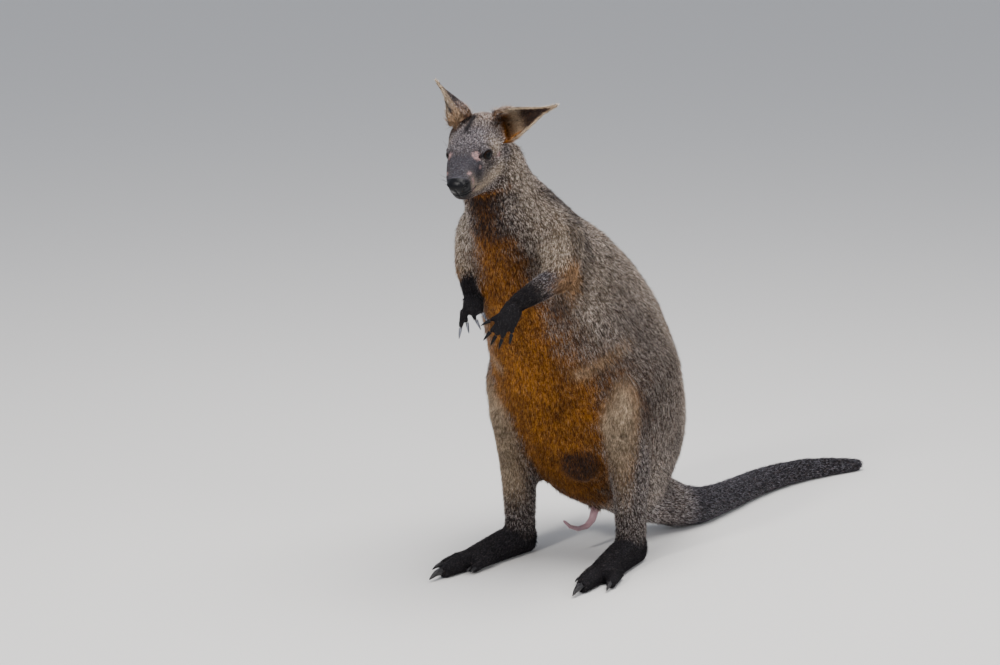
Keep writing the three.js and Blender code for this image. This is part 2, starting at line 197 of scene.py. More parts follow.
skin = bpy.context.view_layer.objects.active
skin.name = "skin"
skin.data.remesh_voxel_size = voxel
bpy.ops.object.voxel_remesh()
part = nodes_near(points_of(skin.data))
evening = np.where(among("hand_", "toe_", "ear_", "penis")[part], 0.25, 0.5)
soften(skin.data, 5, spread(evening, edges_of(skin.data), 3))

# The trunk's hide needs few faces under its thick coat; the face, ears, hands and feet keep theirs.
plain = np.round(spread(np.where(among(*FINE)[part], 0.0, 1.0), edges_of(skin.data), 10), 1)
coarse = skin.vertex_groups.new(name="coarse")
for level in np.unique(plain):
    coarse.add(np.where(plain == level)[0].tolist(), float(level), "REPLACE")
choose(skin)
thinner = skin.modifiers.new("thinner", "DECIMATE")
thinner.ratio = 0.24
thinner.vertex_group = "coarse"
thinner.vertex_group_factor = 0.1
bpy.ops.object.modifier_apply(modifier="thinner")
skin.vertex_groups.clear()

# Each part's hair: its length in millimetres, the width of a tuft, tufts to the square centimetre, and
# the way that it lies.
HAIR = {
    "head": (4.4, 0.74, 90, (-0.86, -0.18, 0.47)),
    "lower_jaw": (5.4, 0.78, 80, (-0.9, -0.18, 0.3)),
    "nose_pad": (0.4, 0.3, 0, (-1, 0, 0)),
    "ear_left": (3.6, 0.65, 72, (-0.31, 0.77, 0.56)),
    "ear_right": (3.6, 0.65, 72, (0.28, -0.45, 0.85)),
    "neck": (11, 1.22, 52, (-0.45, 0, -0.89)),
    "chest": (12.5, 1.22, 50, (-0.5, 0, -0.87)),
    "abdomen": (15, 1.15, 50, (-0.45, 0, -0.89)),
    "rump": (15, 1.15, 48, (-0.6, 0, -0.8)),
    "scrotum": (8, 1, 60, (0, 0, -1)),
    "penis": (0.1, 0.3, 0, (0, 0, -1)),
    "tail_1": (12, 1.15, 50, (-0.9, 0.35, -0.3)),
    "tail_2": (9.5, 1.05, 50, (-0.99, 0.12, -0.08)),
    "tail_3": (9.5, 1.05, 50, (-1, 0.03, -0.02)),
    "tail_4": (9.5, 1.05, 50, (-0.94, 0.34, -0.04)),
    "thigh_": (14, 1.1, 54, (0.1, 0, -1)),
    "shin_": (10, 1, 58, (-0.2, 0, -0.98)),
    "foot_": (6.5, 0.9, 48, (0.97, 0, -0.2)),
    "toe_": (5.5, 0.85, 50, (0.97, 0, -0.2)),
    "upper_arm_left": (10.5, 1.22, 52, (0.2, 0.12, -0.97)),
    "upper_arm_right": (10.5, 1.22, 52, (0.1, -0.2, -0.97)),
    "forearm_left": (8, 0.95, 66, (0.9, -0.28, -0.34)),
    "forearm_right": (8, 0.95, 66, (0.52, 0.4, -0.76)),
    "hand_left": (2.6, 0.65, 85, (0.6, -0.3, -0.75)),
    "hand_right": (2.6, 0.65, 85, (0.25, 0.15, -0.96)),
}
SUNK = 0.31  # the hide lies below the face of the solids by this much of the hair's length
ON_FLOOR = 0.0002  # nothing of the hide comes nearer to the floor than this
coats = [next(coat for start, coat in HAIR.items() if node.startswith(start)) for node in FLESH]
part = nodes_near(points_of(skin.data))
edges = edges_of(skin.data)
evenly = 25


# A column of the table above for each point of the hide, evened out from part to part.
def of_coat(column, passes):
    return spread(np.array([coat[column] for coat in coats], float)[part], edges, passes)


hair = of_coat(0, evenly) / 1000.0
points, ways = points_of(skin.data), spread(normals_of(skin.data), edges, 3)
ways /= np.linalg.norm(ways, axis=1)[:, None]
lifted = np.clip((points[:, 2] - 0.001) / 0.012, 0.05, 1.0)
thin = spread(among("ear_", "penis")[part].astype(float), edges, 2)
put_points(skin.data, points - ways * (SUNK * hair * lifted * (1 - 0.7 * thin))[:, None])
soften(skin.data, 3, 0.5 - 0.35 * thin)

# ---- The face --------------------------------------------------------------------------------------
# The hide of the face, worked finer: lids over each eye, a brow and a tear groove, the bare leather of
# the nose with its nostrils, and the slit of the mouth. Its own frame is +X to the nose and +Z up.

HEAD_TURN = np.array(
    Matrix.Rotation(math.radians(12), 3, "Z")
    @ Matrix.Rotation(math.radians(28), 3, "Y")
    @ Matrix.Rotation(math.radians(5), 3, "X")
)
eye_at = {node: np.array(sum(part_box(node), Vector())) / 2.0 for node in EYES}
HEAD_AT = sum(eye_at.values()) / 2.0 - HEAD_TURN @ np.array([-0.006, 0.0, 0.002])


def in_head(points):
    return (points - HEAD_AT) @ HEAD_TURN * 1000.0


def from_head(points):
    return HEAD_AT + points @ HEAD_TURN.T / 1000.0


# 0 at the first value and 1 at the second, with soft ends.
def rise(a, b, values):
    t = np.clip((values - a) / (b - a), 0.0, 1.0)
    return t * t * (3.0 - 2.0 * t)


# 1 at the first value and 0 at the second.
def fall(a, b, values):
    return 1.0 - rise(a, b, values)


def most(*amounts):
    return np.maximum.reduce(amounts)


def near(points, centre, sizes):
    return np.exp(-((((points - centre) / sizes) ** 2).sum(1)))


BALL = 11.8  # the radius of the eyeball
LID = 0.9  # the thickness of the lids
EYE_MID, EYE_HALF = -0.2, 8.7  # the middle and the half width of the opening, towards the inner corner
lid_ways = {}
for side in (1, -1):
    out = np.array([0.505, side * 0.86, 0.1])
    out /= np.linalg.norm(out)
    inner = np.array([0.798, side * -0.507, 0.326])
    inner -= out * (inner @ out)
    inner /= np.linalg.norm(inner)
    upper = np.cross(out, inner)
    upper *= 1 if upper[2] > 0 else -1
    lid_ways[side] = (np.array([-6.0, side * 22.0, 2.0]), inner, upper, out)


# Where a point lies on the eye: towards the inner corner, up, out, and how far across the opening.
def on_eye(local, side):
    centre, inner, upper, out = lid_ways[side]
    from_eye = local - centre
    x, y, z = from_eye @ inner, from_eye @ upper, from_eye @ out
    aside = (x - EYE_MID) / EYE_HALF
    half = np.where(y > 0, 6.9, 5.9) * np.clip(1.0 - 0.2 * np.abs(aside) ** 3, 0.4, 1.0)
    across = np.sqrt(aside**2 + (y / half) ** 2)
    return x, y, z, np.where(z > 0, across, 9.0)


def from_eyes(local):
    return np.minimum(on_eye(local, 1)[3], on_eye(local, -1)[3])


def finer(chosen, cuts):
    choose(skin)
    mesh = skin.data
    mesh.vertices.foreach_set("select", np.zeros(len(mesh.vertices), bool))
    mesh.edges.foreach_set("select", np.zeros(len(mesh.edges), bool))
    corners = read(mesh.loops, "vertex_index", 1, np.int32).ravel()
    starts = read(mesh.polygons, "loop_start", 1, np.int32).ravel()
    flags = np.maximum.reduceat(chosen[corners].astype(np.int8), starts).astype(bool)
    mesh.polygons.foreach_set("select", flags)
    bpy.ops.object.mode_set(mode="EDIT")
    bpy.ops.mesh.select_mode(type="FACE")
    bpy.ops.mesh.subdivide(number_cuts=cuts)
    bpy.ops.mesh.select_all(action="SELECT")
    bpy.ops.mesh.quads_convert_to_tris()
    bpy.ops.object.mode_set(mode="OBJECT")


local = in_head(points_of(skin.data))
around_eye = from_eyes(local) < 1.9
snout = (local[:, 0] > 44) & (local[:, 0] < 80) & (local[:, 2] > -34) & (np.abs(local[:, 1]) < 24)
mouth_z = -20.0 + 0.08 * (local[:, 0] - 40.0)
lips = (local[:, 0] > 16) & (local[:, 0] <= 70) & (np.abs(local[:, 2] - mouth_z) < 4) & (np.abs(local[:, 1]) < 34)
finer(around_eye | snout | lips, 1)
local = in_head(points_of(skin.data))
finer(from_eyes(local) < 1.45, 1)

local = in_head(points_of(skin.data))
shape = local.copy()
for side in (1, -1):
    centre, inner, upper, out = lid_ways[side]
    x, y, z, across = on_eye(local, side)
    reach = x * x + y * y
    # Inside the opening the hide passes under the eyeball. Outside, it lies over it as the lids.
    under = np.sqrt(np.maximum((BALL - 3.0) ** 2 - reach, 1.0))
    brim = np.sqrt(np.maximum((BALL + LID) ** 2 - reach, 1.0))
    over = brim + 0.9 * rise(1.0, 1.25, across) - 0.9 * np.exp(-(((across - 1.6) / 0.12) ** 2)) * rise(-1, 2, y)
    lid = np.where(across < 1.0, under + (brim - under) * rise(0.88, 1.0, across), over)
    hold = fall(1.45, 2.3, across)
    new_z = z + (lid - z) * hold
    new_z += 1.5 * near(local, (-4, side * 29, 17), (12, 9, 5))
    # The tear groove runs from the inner corner towards the nose.
    groove = np.exp(-(((y + 0.5) / 1.5) ** 2)) * rise(8.6, 10.5, x) * fall(15.0, 22.0, x)
    new_z -= 0.7 * np.where(z > 0, groove, 0.0)
    shape += ((new_z - z) * (across < 9.0))[:, None] * out

# The nose: a flat-topped pad with a groove down its middle, and a comma-shaped nostril on each side.
skin_ways = normals_of(skin.data) @ HEAD_TURN
ahead = rise(56.0, 62.0, local[:, 0])
shape[:, 0] -= 1.4 * np.exp(-(local[:, 1] ** 2)) * ahead * fall(-8, -3, local[:, 2])
for side in (1, -1):
    from_pit = local - (62, side * 12.4, -6.6)
    pit = np.exp(-((from_pit / (3.8, 3.4, 2.6)) ** 4).sum(1))
    comma = near(from_pit, (-4, 1.5, 2.4), (3, 3, 1.3))
    wing = near(from_pit, (0, -1, 4.4), (4.5, 4, 1.8))
    shape += skin_ways * (1.3 * wing - 5.0 * np.maximum(pit, 0.6 * comma))[:, None]
# The mouth runs back from under the nose, and the upper lip hangs a little over the lower one.
mouth_z = -20.0 + 0.08 * (local[:, 0] - 40.0) - 0.004 * np.maximum(local[:, 0] - 40, 0) ** 2
line = local[:, 2] - mouth_z
deep = rise(18.0, 28.0, local[:, 0]) * np.exp(-((line / 0.9) ** 2))
lip = rise(18.0, 30.0, local[:, 0]) * np.exp(-(((line - 2.4) / 1.5) ** 2))
in_front = (local[:, 0] > 14) & (local[:, 2] > -40)
shape += skin_ways * ((0.7 * lip - 2.2 * deep) * in_front)[:, None]
put_points(skin.data, np.where((local[:, 0] > -30)[:, None], from_head(shape), points_of(skin.data)))
edges = edges_of(skin.data)
soft_face = np.where(from_eyes(local) < 2.0, 0.25, 0.0)
smoothed = spread(points_of(skin.data), edges, 2, soft_face)
ear_roots = near(local, (-45, -20, 28), (12, 13, 12)) + near(local, (-66, 38, 24), (15, 15, 14))
smoothed = spread(smoothed, edges, 30, 0.5 * np.clip(1.5 * ear_roots - 0.2, 0, 1))
smoothed[:, 2] = np.maximum(smoothed[:, 2], ON_FLOOR)
put_points(skin.data, smoothed)

for polygon in skin.data.polygons:
    polygon.use_smooth = True

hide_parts(*FLESH)
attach(skin, "root")

# ---- Markings --------------------------------------------------------------------------------------
# The colours of the living coat, kept on the hide as amounts of each: rust below, grizzled grey-brown
# above, dark hands, feet and tail, and the pale and dark lines of the face and ears.

points = points_of(skin.data)
part = nodes_near(points)
edges = edges_of(skin.data)
local = (points - STAND) * 1000.0
x_mm, y_mm, z_mm = local.T
face = in_head(points)


def member(passes, *starts):
    return spread(among(*starts)[part].astype(float), edges, passes)


# How far down the spine a point is, and its angle round it from the middle of the belly.
SPINE = np.array([
    (256, -4, 662), (232, -6, 606), (186, 0, 545), (134, 0, 475), (66, 0, 400),
    (6, 0, 320), (-44, 2, 240), (-84, 4, 174), (-116, 7, 124), (-138, 12, 90),
], float)
nearest, down_spine, round_spine = np.full(len(local), 1e9), np.zeros(len(local)), np.zeros(len(local))
run = 0.0
for start, end in zip(SPINE[:-1], SPINE[1:]):
    length = np.linalg.norm(end - start)
    way = (end - start) / length
    t = np.clip((local - start) @ way, 0.0, length)
    off = local - start - t[:, None] * way
    far = np.linalg.norm(off, axis=1)
    belly_way = np.cross(way, (0.0, 1.0, 0.0))
    belly_way *= 1 if belly_way[0] > 0 else -1
    angle = np.degrees(np.arctan2(off[:, 1], off @ belly_way))
    closer = far < nearest
    nearest = np.where(closer, far, nearest)
    down_spine = np.where(closer, run + t, down_spine)
    round_spine = np.where(closer, angle, round_spine)
    run += length

head, hands = member(6, "head", "lower_jaw", "nose_pad"), member(5, "hand_")
ears, feet = member(3, "ear_"), member(6, "foot_", "toe_")
legs, thighs = member(12, "shin_"), member(15, "thigh_")
tails = member(12, "tail_") * rise(-175, -255, x_mm)
tail_root = member(12, "tail_1") * (1 - tails)
upper_arms, forearms = member(8, "upper_arm_"), member(5, "forearm_")
limbs = np.clip(hands + forearms + upper_arms + feet + legs + ears + tails, 0, 1)
bare = member(2, "penis")

# Rust: the front of the throat and chest, the belly out to the fold of the flank, and between the legs.
# The tables say how many degrees round it reaches on each side, at so many millimetres down the spine.
RUST_LEFT = {
    30: 20, 66: 15, 90: 22, 140: 30, 165: 30, 200: 35, 240: 32, 272: 33, 300: 33, 338: 36, 359: 42,
    386: 50, 416: 49, 442: 44, 472: 40, 534: 33, 594: 27, 650: 24,
}
RUST_RIGHT = {
    30: 26, 66: 24, 90: 29, 140: 35, 225: 45, 300: 50, 352: 58, 386: 56, 442: 43, 480: 36, 568: 28, 653: 22,
}
trunk = (1 - limbs) * (1 - head)
to_left = np.interp(down_spine, list(RUST_LEFT), list(RUST_LEFT.values()))
to_right = np.interp(down_spine, list(RUST_RIGHT), list(RUST_RIGHT.values()))
ragged = 4.0 * np.sin(z_mm / 9.0 + 2.0 * np.sin(x_mm / 13.0))
ragged += 3.0 * np.sin(z_mm / 4.1 + 1.7 * np.sin(x_mm / 5.3)) + 3.0 * np.sin(y_mm / 6.1)
beyond = np.where(round_spine > 0, round_spine - to_left, -round_spine - to_right) + ragged
round_spine = np.abs(round_spine)
rust = fall(-20, 21, beyond) * (0.8 + 0.2 * rise(70, 105, down_spine)) * rise(25, 40, down_spine)
rust = most(rust, 0.38 * fall(-5, 42, beyond) * rise(120, 180, down_spine)) * fall(600, 700, down_spine) * trunk
under_chin = rise(20, 34, down_spine) * fall(60, 90, down_spine) * fall(4, 38, round_spine)
rust = most(rust, 0.95 * under_chin * (1 - head))
edge = np.exp(-(((beyond - 14) / 20) ** 2)) * trunk * rise(60, 120, down_spine)

# A fringe of rust hangs behind each elbow, and a streak climbs from the belly along the fold of each thigh.
elbow = sum(near(local, centre, sizes) for centre, sizes in (
    ((212, 100, 470), (28, 18, 17)), ((186, -98, 464), (28, 18, 17)),
    ((166, 82, 468), (14, 16, 20)), ((150, -82, 462), (14, 16, 20)),
    ((200, 102, 492), (20, 16, 18)), ((180, -100, 486), (20, 16, 18)),
))
elbow = np.clip(1.3 * elbow, 0, 1) * (1 - 0.8 * hands)
FOLD = np.array([(123, 66, 325), (95, 97, 350), (58, 112, 367), (20, 116, 377)], float)
FOLD_WIDTH = 10.5
mirror_side = np.stack([x_mm, np.abs(y_mm), z_mm], 1)
fold, so_far = np.zeros(len(local)), 0.0
for start, end in zip(FOLD[:-1], FOLD[1:]):
    length = np.linalg.norm(end - start)
    t = np.clip((mirror_side - start) @ (end - start) / length**2, 0.0, 1.0)
    away = np.linalg.norm(mirror_side - start - t[:, None] * (end - start), axis=1)
    fold = most(fold, np.exp(-((away / FOLD_WIDTH) ** 2)) * fall(20, 125, so_far + t * length))
    so_far += length

# The front of each thigh is golden, with a dark stripe down the outside behind it.
stripe_x = 8 + 0.16 * (z_mm - 120)
stripe = np.exp(-(((x_mm - stripe_x) / 27) ** 2)) * rise(60, 150, z_mm)
stripe *= fall(270, 325, z_mm) * rise(75, 110, np.abs(y_mm)) * (thighs + 0.8 * legs)
thigh_front = rise(stripe_x + 14, stripe_x + 44, x_mm) * (thighs + legs) * rise(50, 85, np.abs(y_mm))
thigh_front *= rise(60, 130, z_mm)
edge *= 1 - np.clip(thigh_front, 0, 1)
golden = thigh_front * (0.35 + 0.65 * rise(70, 170, z_mm))
rust = np.clip(np.clip(rust + 0.95 * elbow, 0, 1) + 0.9 * fold, 0, 1)
rust = np.clip(rust + 0.95 * golden + 0.06 * upper_arms, 0, 1)

# Dark: the throat, deepened under the jaw and down the sides of the neck as painted shadow; painted shade in the fold
# behind each shoulder and under each elbow; and the forearms from part of the way to the wrist.
# The throat is dark brown. Right under the jaw it is darkened further as painted shadow, and the collar down each
# side of the neck is painted shadow behind the jaw.
throat = rise(20, 40, down_spine) * fall(68, 140, down_spine) * fall(14, 62, round_spine) * (1 - limbs)
neck_shadow = rise(12, 28, down_spine) * fall(50, 95, down_spine) * np.exp(-(((round_spine - 52) / 16) ** 2))
# Painted shade in the fold behind each shoulder and under each elbow.
shade_behind_arms = near(mirror_side, (133, 48, 572), (16, 20, 22)) + near(mirror_side, (176, 62, 436), (16, 18, 22))
for side in (1, -1):
    shade_behind_arms += near(local, (128, side * 78, 545), (17, 34, 60)) + near(local, (150, side * 84, 475), (12, 26, 34))
arm_x = x_mm + np.where(y_mm < 0, 20, 0)
arm_back = upper_arms * rise(198, 176, arm_x) * rise(485, 505, z_mm) * rise(60, 80, np.abs(y_mm))
# A second band of painted shade, down the fold behind each shoulder.
band_at = np.interp(z_mm - 8, (480, 530, 565, 602), (-8, -10, -24, -62))
across_band = -0.5 * x_mm + 0.866 * np.abs(y_mm) - band_at
shoulder_shade = np.exp(-((across_band / 9.0) ** 2)) * rise(490, 512, z_mm) * fall(600, 622, z_mm)
scrotum = near(local, (66, 38, 167), (34, 40, 36))
# The sides of the trunk are darkened and the back above them kept light: painted shade on the sides, and painted
# light of the sky on the upward-facing back.
shaded_flanks = rise(60, 100, round_spine) * rise(150, 330, down_spine) * trunk
shaded_flanks *= 1 - 0.8 * rise(98, 135, round_spine)


def to_wrist(elbow_at, way):
    return (local - elbow_at) @ np.array(way, float) / np.dot(way, way)


down_arm = np.where(
    y_mm > 0, to_wrist((206, 86, 483), (90, -26, -29)), to_wrist((184, -84, 476), (24, 19, -36)) + 0.22
)
arm_dark = np.clip(forearms + hands, 0, 1) * rise(0.3, 0.75, down_arm)
dark = (1 - 0.95 * fold) * most(
    np.clip(arm_dark + hands + feet + 0.75 * legs * fall(35, 75, z_mm), 0, 1),
    # the throat, deepest just below the jaw as painted shadow, then the painted shadow down the sides of the neck
    (0.68 + 0.14 * rise(65, 40, down_spine)) * throat,
    0.38 * neck_shadow * (1 - limbs),
    0.62 * arm_back,
    # painted shade in the folds behind the shoulders and under the elbows
    0.55 * shoulder_shade * (1 - head) * (1 - rust),
    0.2 * rise(90, 120, down_spine) * fall(190, 240, down_spine) * rust,
    0.1 * edge * rise(150, 200, down_spine),
    0.42 * stripe,
    0.52 * np.clip(1.2 * shade_behind_arms, 0, 1) * (1 - head) * (1 - elbow),
    0.74 * rise(0.3, 0.75, scrotum),
    # the flanks part of this is painted shade on the sides of the trunk
    0.22 * np.clip(shaded_flanks + thighs * (1 - thigh_front), 0, 1),
    0.38 * legs * (1 - 0.6 * thigh_front),
    0.45 * tails,
)
grey = np.clip(0.9 * tails + 0.35 * tail_root + 0.8 * forearms * (1 - arm_dark) + 0.25 * legs, 0, 1)
pale = 0.84 * thigh_front + 0.42 * upper_arms * (1 - 0.7 * elbow)
# painted light: the upward-facing back is lightened as if lit by the sky above
pale += 0.16 * rise(98, 135, round_spine) * rise(120, 260, down_spine) * trunk
pale += 0.24 * member(15, "neck", "chest") * rise(40, 70, round_spine) * fall(95, 130, round_spine)
pale = most(pale, 0.36 * elbow, 0.6 * fold)

# The face.
fx, fy, fz = face[:, 0], np.abs(face[:, 1]), face[:, 2]
across = np.where(face[:, 1] > 0, on_eye(face, 1)[3], on_eye(face, -1)[3])
eye_zone = head * (across < 8)
mirrored = np.stack([fx, fy, fz], 1)
nose = rise(-1.0, 1.0, fx - 52.3 - 0.5 * np.maximum(fz + 5, 0) - 0.35 * np.maximum(-12 - fz, 0))
low_lip = -22.7 - 3.8 * fall(8, 13, fy)
nose *= rise(-1.3, 1.2, fz - low_lip) * head
lip_black = rise(34, 44, fx) * np.exp(-(((fz + 21.5) / 1.5) ** 2)) * head


def on_face(amount, centre, sizes):
    return amount * head * near(mirrored, centre, sizes)


streak = np.exp(-(((face[:, 1] + 4.6) / 3.5) ** 2)) * rise(-76, -66, fx) * fall(-27, -13, fx) * rise(8, 14, fz)
under_jaw = np.exp(-(((fz + 74.5 - 0.22 * fy) / 2.7) ** 2)) * rise(-46, -30, fx) * fall(0, 14, fx)
dark = most(
    np.where(head > 0.5, 0.0, dark),
    0.4 * head * rise(10, 26, fx) * fall(34, 42, fx) * fall(-4, 8, fz) * rise(-30, -18, fz),
    0.45 * head * rise(44, 52, fx) * fall(-27, -22, fz),
    0.9 * eye_zone * fall(1.08, 1.32, across),
    on_face(0.6, (1, 28, -15), (17, 12, 10)),
    on_face(0.55, (8, 24, 18), (5, 6, 5)),
    head * np.clip(1.4 * streak, 0, 1),
    nose,
    lip_black,
) * (1 - 0.9 * np.clip(under_jaw, 0, 1))
grey = most(
    np.where(head > 0.5, 0.0, grey),
    0.92 * head * rise(2, 26, fx) * rise(-30, -14, fz),
    0.72 * head * rise(-62, -24, fx) * rise(-6, 12, fz),
    0.3 * head,
)
cheek = rise(54, 46, fx) * rise(-50, -14, fx) * rise(10, 15, fy)
stripe_z = -36.6 + 0.13 * fx + 9.0 * rise(28, 48, fx)
stripe_width = np.where(fz > stripe_z, 15.0, 5.0 + 4.0 * rise(25, 0, fx))
pale = most(
    np.where(head > 0.5, 0.0, pale),
    0.64 * head * cheek * np.exp(-(((fz - stripe_z) / stripe_width) ** 2)),
    on_face(0.4, (-22, 32, 2), (12, 12, 16)),
    on_face(0.55, (45, 17, -14), (7, 8, 14)),
)
rust = np.where(head > 0.5, 0.0, rust) + 0.7 * under_jaw * fall(36, 44, fy)
rust = np.clip(rust + on_face(0.85, (-58, 42, -1), (10, 10, 10)), 0, 1)
# Bare pink skin, blotched, before and behind each eye and up the side of the muzzle.
pink = bare
for amount, centre, sizes in (
    (1.1, (14, 19, 11), (9.5, 9, 8.5)), (0.85, (22, 23, -2), (5, 6, 4.5)), (0.8, (45, 16, 4), (5, 6, 4.5)),
    (0.78, (45, 18, -8), (4.5, 5, 9)), (0.7, (46, 16, -21), (4.5, 6, 8)), (1.5, (-24, 34, -13), (5.2, 7, 5.5)),
):
    pink = most(pink, on_face(amount, centre, sizes) * (1 - nose))
patchy = 0.5 + 0.5 * np.sin(fx * 1.1 + 2 * np.sin(fz * 0.8)) * np.sin(fz * 0.9 + 1.7 * np.sin(fx * 0.6))
pink = np.where(head > 0.3, rise(0.28, 0.66, pink * (0.7 + 0.5 * patchy)), pink) * (across > 1.02)

# The ears: a hollow that is pale tan low down and darkened higher up with painted shade, a pale hairy rim and tip, a
# dark back, and rust and long hair at the root.
ways_now = normals_of(skin.data)
blunt = np.linalg.norm(spread(ways_now, edges, 5), axis=1)
up_ears, off_ears = np.zeros(len(local)), np.zeros(len(local))
for name, root, tip in (("left", (-62, 30, 8), (249, 102, 739)), ("right", (-62, -22, 21), (312, -66, 772))):
    root, top = from_head(np.array(root, float)[None])[0], place(*tip)
    way = (top - root) / np.linalg.norm(top - root)
    mine = among("ear_" + name)[part]
    up_ears = np.where(mine, (points - root) @ way / np.linalg.norm(top - root), up_ears)
    off = points - root - ((points - root) @ way)[:, None] * way
    off_ears = np.where(mine, off @ np.array([-500.0, 866.0, 0.0]), off_ears)
rim = most(rise(0.92, 0.76, blunt) * rise(0.1, 0.34, up_ears), rise(0.86, 0.95, up_ears))
is_ear, near_ear = among("ear_")[part], face[:, 1] > 0
slit = np.exp(-(((off_ears + 4.3) / 2.2) ** 2)) * rise(0.12, 0.3, up_ears) * fall(0.7, 0.9, up_ears)
slit = np.where(near_ear, 0.0, slit)
band_tan = np.where(near_ear, 0.0, rise(5.5, 3.0, off_ears)) * (1 - slit)
# The hollow is the side of each ear that faces inward. Its darkening higher up is painted shade in the cup of the
# ear.
left_hollow = rise(-0.1, 0.4, ways_now @ np.array([0.9, 0.1, -0.3]))
right_hollow = rise(0.0, 0.5, ways_now @ np.array([0.55, -0.8, -0.1]))
hollow = np.where(near_ear, left_hollow, right_hollow)
top_part = rise(0.27, 0.46, up_ears)
left_rust = 0.95 * fall(0.2, 0.4, up_ears) * (1 - 0.85 * rise(14, 28, fz)) + 0.5 * hollow * rise(0.25, 0.45, up_ears)
right_rust = (0.7 - 0.5 * rise(0, 0.5, up_ears)) * (0.4 + 0.6 * band_tan)
rust = np.where(is_ear, np.where(near_ear, left_rust, right_rust), rust)
# the hollow's extra darkness is painted shade
ear_dark = (0.1 + 0.9 * top_part) * (np.where(near_ear, 0.4, 0.62) + 0.36 * hollow) * (1 - rim) * (1 - 0.8 * band_tan)
dark = most(np.where(is_ear, ear_dark, dark), 0.85 * slit * is_ear)
ear_pale = most(0.85 * rim, 0.7 * hollow * (1 - top_part) * rise(0.06, 0.2, up_ears), 0.4 * band_tan)
pale = np.where(is_ear, ear_pale, pale)
grey = np.where(is_ear, 0.05 + 0.5 * (1 - hollow) * rise(0.05, 0.3, up_ears), grey)
fluff = near(face, (-62, 42, 24), (17, 15, 16)) + 0.5 * near(face, (-50, -24, 30), (12, 12, 12))
fluff += 0.5 * head * rise(-48, -66, fx)
ear_foot = 1.1 * near(face, (-63, 44, 2), (14, 14, 12)) + 0.5 * near(face, (-40, -27, 18), (8, 8, 10))
rust = np.clip(rust + 0.3 * fluff + ear_foot, 0, 1)
grey = grey * (1 - 0.8 * np.clip(fluff, 0, 1))

# How many of the hairs have a pale tip.
tick = 1.0 - 0.5 * rust - 0.62 * head * rise(-4, 30, fx) - 0.6 * dark - 0.35 * tails - 0.3 * forearms
# fewer pale tips on the flanks, part of their painted shade
tick = np.clip(tick - 0.42 * shaded_flanks * (1 - rust) - 0.6 * edge * (1 - fold) - 0.9 * streak * head, 0.05, 1.0)
tick -= 0.4 * head * rise(-66, -40, fx) * rise(-6, 6, fz) + 0.45 * is_ear * (1 - rim) - 0.3 * feet
tick = np.clip(tick, 0.05, 1.0)


def keep(mesh, name, *columns):
    made = mesh.color_attributes.new(name, "FLOAT_COLOR", "POINT")
    values = np.ones((len(mesh.vertices), 4), np.float32)
    for k, column in enumerate(columns):
        values[:, k] = np.clip(column, 0, 1)
    made.data.foreach_set("color", values.ravel())


marks = np.stack([rust, pale, dark], 1)
more_marks = np.stack([grey, pink, tick], 1)
keep(skin.data, "marks", *marks.T)
keep(skin.data, "more_marks", *more_marks.T)
keep(skin.data, "leather", np.maximum(nose, 0.8 * lip_black), bare, eye_zone * fall(1.04, 1.2, across))


# Gives a socket its value: another socket's, a number's, or those of a colour or direction.
def feed(socket, value):
    if isinstance(value, bpy.types.NodeSocket):
        socket.id_data.links.new(value, socket)
    elif isinstance(value, tuple):
        socket.default_value = (*value, 1.0)[: len(socket.default_value)]
    else:
        socket.default_value = value


# A new shader node, fed with the values given, in the tree that they come from.
def node_for(kind, values, **settings):
    tree = next(value.id_data for value in values.values() if isinstance(value, bpy.types.NodeSocket))
    made = tree.nodes.new(kind)
    for name, setting in settings.items():
        setattr(made, name, setting)
    for name, value in values.items():
        feed(made.inputs[name], value)
    return made


def maths(operation, a, b):
    return node_for("ShaderNodeMath", {0: a, 1: b}, operation=operation).outputs[0]


def times(a, b):
    return maths("MULTIPLY", a, b)


def plus(a, b):
    return maths("ADD", a, b)


def mixed(amount, a, b, kind="MIX"):
    return node_for("ShaderNodeMix", {0: amount, 6: a, 7: b}, data_type="RGBA", blend_type=kind).outputs[2]


def stepped(value, low, high):
    ends = {"Value": value, "From Min": low, "From Max": high}
    return node_for("ShaderNodeMapRange", ends, interpolation_type="SMOOTHSTEP").outputs["Result"]


def bumped(height, strength, distance):
    return node_for("ShaderNodeBump", {"Height": height, "Strength": strength, "Distance": distance}).outputs[0]


def amounts(tree, name):
    read = tree.nodes.new("ShaderNodeAttribute")
    read.attribute_name = name
    split = tree.nodes.new("ShaderNodeSeparateColor")
    tree.links.new(read.outputs["Color"], split.inputs[0])
    return split.outputs


def mottle(tree, scale, detail):
    where = tree.nodes.new("ShaderNodeTexCoord").outputs["Object"]
    return node_for("ShaderNodeTexNoise", {"Vector": where, "Scale": scale, "Detail": detail}).outputs[0]


def material(name, specular=0.5, roughness=0.5):
    made = bpy.data.materials.new(name)
    made.use_nodes = True
    shader = made.node_tree.nodes["Principled BSDF"]
    shader.inputs["Specular IOR Level"].default_value = specular
    shader.inputs["Roughness"].default_value = roughness
    return made, made.node_tree, shader


HAIRS = {  # the colour of each kind of hair at its root, along its length, and at a ticked tip
    "agouti": ((0.03, 0.023, 0.02), (0.1, 0.075, 0.064), (1.0, 0.87, 0.77)),
    "rust": ((0.045, 0.018, 0.005), (0.225, 0.075, 0.006), (0.72, 0.31, 0.045)),
    "pale": ((0.17, 0.125, 0.085), (0.5, 0.39, 0.27), (1.0, 0.84, 0.64)),
    "dark": ((0.006, 0.006, 0.007), (0.015, 0.0135, 0.016), (0.13, 0.12, 0.137)),
    "grey": ((0.018, 0.018, 0.023), (0.045, 0.044, 0.056), (0.6, 0.59, 0.68)),
}
